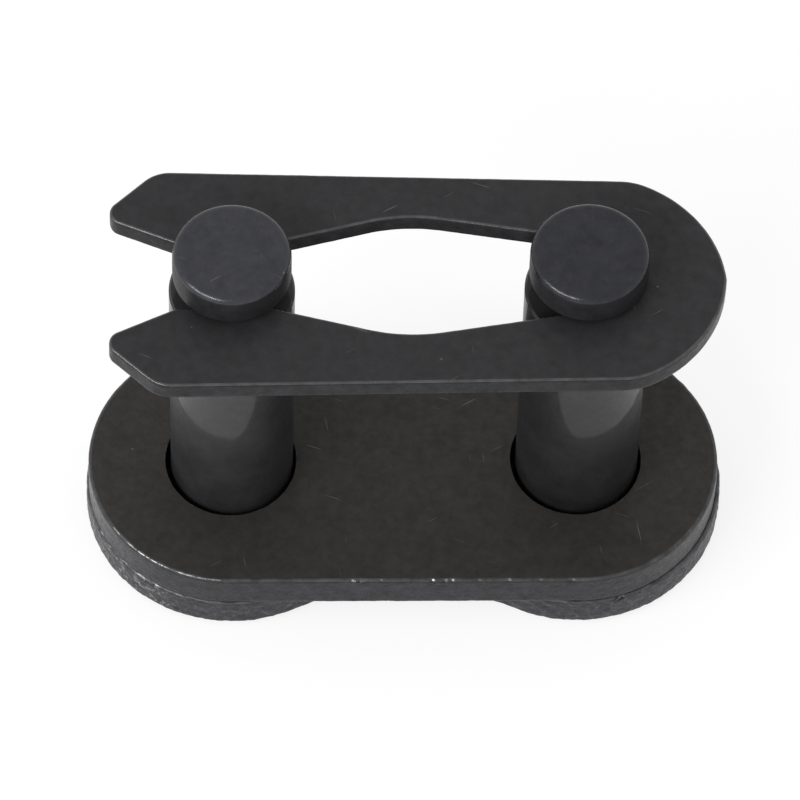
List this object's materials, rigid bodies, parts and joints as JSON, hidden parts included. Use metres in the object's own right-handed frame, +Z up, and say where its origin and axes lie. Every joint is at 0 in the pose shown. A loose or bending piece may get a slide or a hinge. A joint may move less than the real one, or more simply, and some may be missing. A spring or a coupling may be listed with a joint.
{
  "type": "motorcycle chain master link",
  "caption": "Clip-type connecting link of a roller chain: waisted pin plate with riveted pins, loose side plate that slides on them, flat spring clip in their grooves.",
  "frame": {"origin": "midway between the two pins, on the plane that their riveted ends rest on", "axes": "+Z up the pins from the riveted ends to the heads, +X along the pitch towards the clip's closed end, +Y across the link"},
  "size_m": [0.0234, 0.0108, 0.017],
  "materials": {
    "pin_plate_steel": "black oxide, sheared edges lighter and rough",
    "side_plate_steel": "matte brown-black oxide, sheared edges lighter and rough",
    "pin_steel": "semi-gloss blue-black oxide",
    "clip_steel": "satin black oxide"
  },
  "bodies": {
    "pin_link": {"pin_plate": "pin_plate_steel", "open_end_pin": "pin_steel", "closed_end_pin": "pin_steel"},
    "side_plate": {"side_plate": "side_plate_steel"},
    "clip": {"spring_clip": "clip_steel"}
  },
  "joints": [
    {"name": "side_plate_slide", "type": "slide", "parent": "pin_link", "child": "side_plate", "axis": [0, 0, 1], "range_m": [0, 0.01139]},
    {"name": "clip_slide", "type": "slide", "parent": "pin_link", "child": "clip", "axis": [1, 0, 0], "range_m": [0, 0.00625]}
  ]
}
